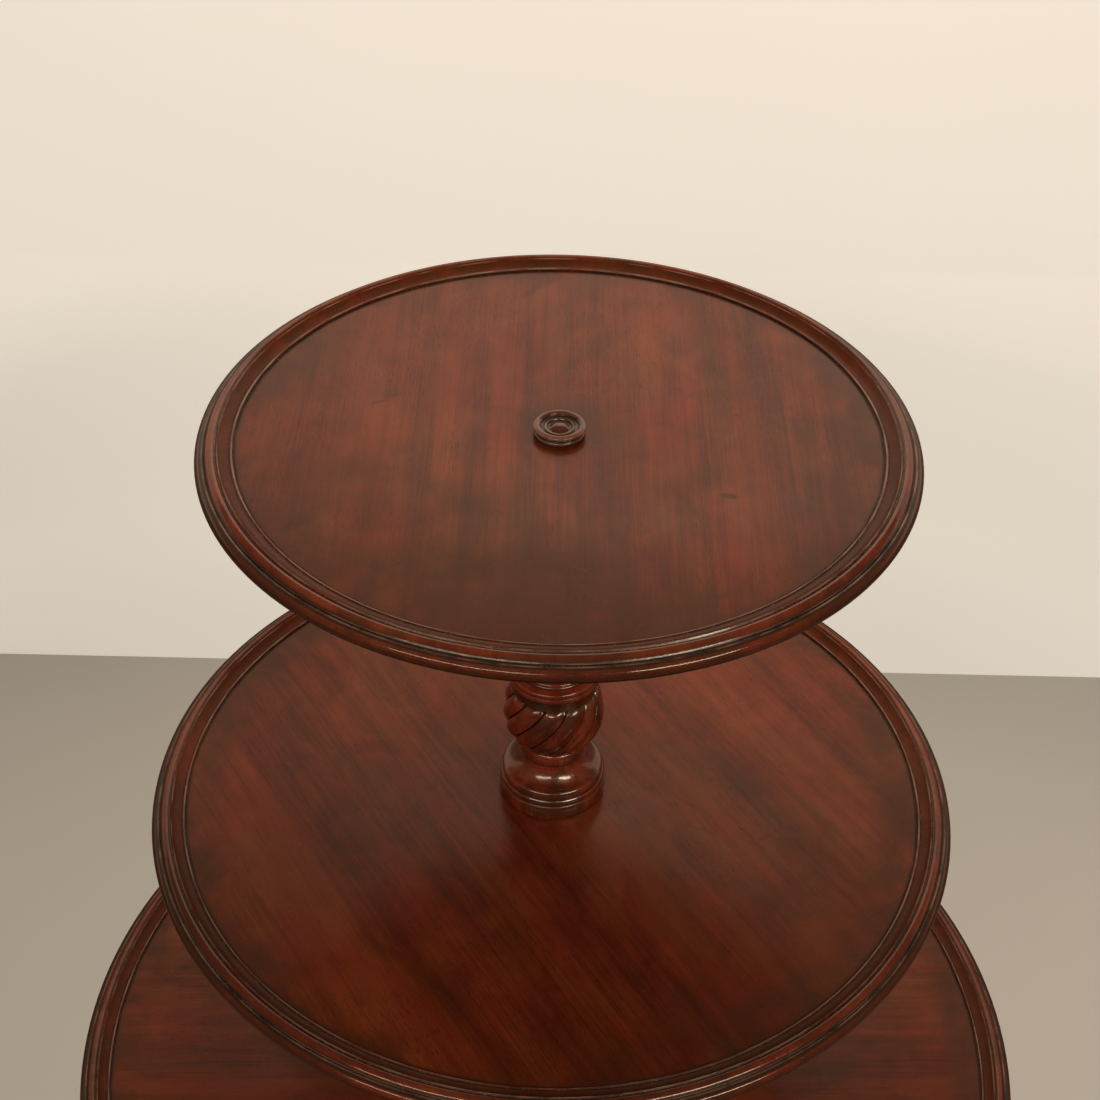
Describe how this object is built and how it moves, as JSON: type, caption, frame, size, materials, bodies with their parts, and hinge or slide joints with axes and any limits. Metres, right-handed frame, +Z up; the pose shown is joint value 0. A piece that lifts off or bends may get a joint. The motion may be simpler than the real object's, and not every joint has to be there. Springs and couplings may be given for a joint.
{
  "type": "dumbwaiter table",
  "caption": "Round tiered dumbwaiter table: dished mahogany trays that turn on a carved column, on cabriole legs with brass swivel castors.",
  "frame": {"origin": "on the column's axis at floor level", "axes": "+Z up along the column; -Y towards the front, where leg_1 points"},
  "size_m": [0.681, 0.681, 0.9854],
  "materials": {
    "tray_mahogany": "french polished",
    "turned_mahogany": "french polished",
    "leg_mahogany": "french polished",
    "hub_mahogany": "stained",
    "brass": "aged",
    "iron": "wrought"
  },
  "bodies": {
    "stand": {"base_pillar": "turned_mahogany", "leg_1": "leg_mahogany", "leg_2": "leg_mahogany", "leg_3": "leg_mahogany", "leg_brace": "iron", "lower_column": "turned_mahogany", "upper_column": "turned_mahogany", "finial_button": "turned_mahogany", "top_bearing_washer": "brass", "middle_bearing_washer": "brass", "bottom_bearing_washer": "brass", "castor_plate_1": "brass", "castor_plate_2": "brass", "castor_plate_3": "brass"},
    "top_tray": {"top_tray": "tray_mahogany", "top_tray_hub": "hub_mahogany"},
    "middle_tray": {"middle_tray": "tray_mahogany", "middle_tray_hub": "hub_mahogany"},
    "bottom_tray": {"bottom_tray": "tray_mahogany", "bottom_tray_hub": "hub_mahogany"},
    "castor_fork_1": {"castor_fork_1": "brass", "castor_axle_1": "iron"},
    "castor_fork_2": {"castor_fork_2": "brass", "castor_axle_2": "iron"},
    "castor_fork_3": {"castor_fork_3": "brass", "castor_axle_3": "iron"},
    "castor_wheel_1": {"castor_wheel_1": "brass"},
    "castor_wheel_2": {"castor_wheel_2": "brass"},
    "castor_wheel_3": {"castor_wheel_3": "brass"}
  },
  "joints": [
    {"name": "top_tray_turn", "type": "hinge", "parent": "stand", "child": "top_tray", "pos_m": [0, 0, 0.979], "axis": [0, 0, 1], "continuous": true},
    {"name": "middle_tray_turn", "type": "hinge", "parent": "stand", "child": "middle_tray", "pos_m": [0, 0, 0.7], "axis": [0, 0, 1], "continuous": true},
    {"name": "bottom_tray_turn", "type": "hinge", "parent": "stand", "child": "bottom_tray", "pos_m": [0, 0, 0.44], "axis": [0, 0, 1], "continuous": true},
    {"name": "castor_1_swivel", "type": "hinge", "parent": "stand", "child": "castor_fork_1", "pos_m": [0, -0.27, 0.034], "axis": [0, 0, 1], "continuous": true},
    {"name": "castor_2_swivel", "type": "hinge", "parent": "stand", "child": "castor_fork_2", "pos_m": [0.23383, 0.135, 0.034], "axis": [0, 0, 1], "continuous": true},
    {"name": "castor_3_swivel", "type": "hinge", "parent": "stand", "child": "castor_fork_3", "pos_m": [-0.23383, 0.135, 0.034], "axis": [0, 0, 1], "continuous": true},
    {"name": "castor_1_roll", "type": "hinge", "parent": "castor_fork_1", "child": "castor_wheel_1", "pos_m": [0, -0.284, 0.01219], "axis": [1, 0, 0], "continuous": true},
    {"name": "castor_2_roll", "type": "hinge", "parent": "castor_fork_2", "child": "castor_wheel_2", "pos_m": [0.24595, 0.142, 0.01219], "axis": [-0.5, 0.866, 0], "continuous": true},
    {"name": "castor_3_roll", "type": "hinge", "parent": "castor_fork_3", "child": "castor_wheel_3", "pos_m": [-0.24595, 0.142, 0.01219], "axis": [-0.5, -0.866, 0], "continuous": true}
  ]
}
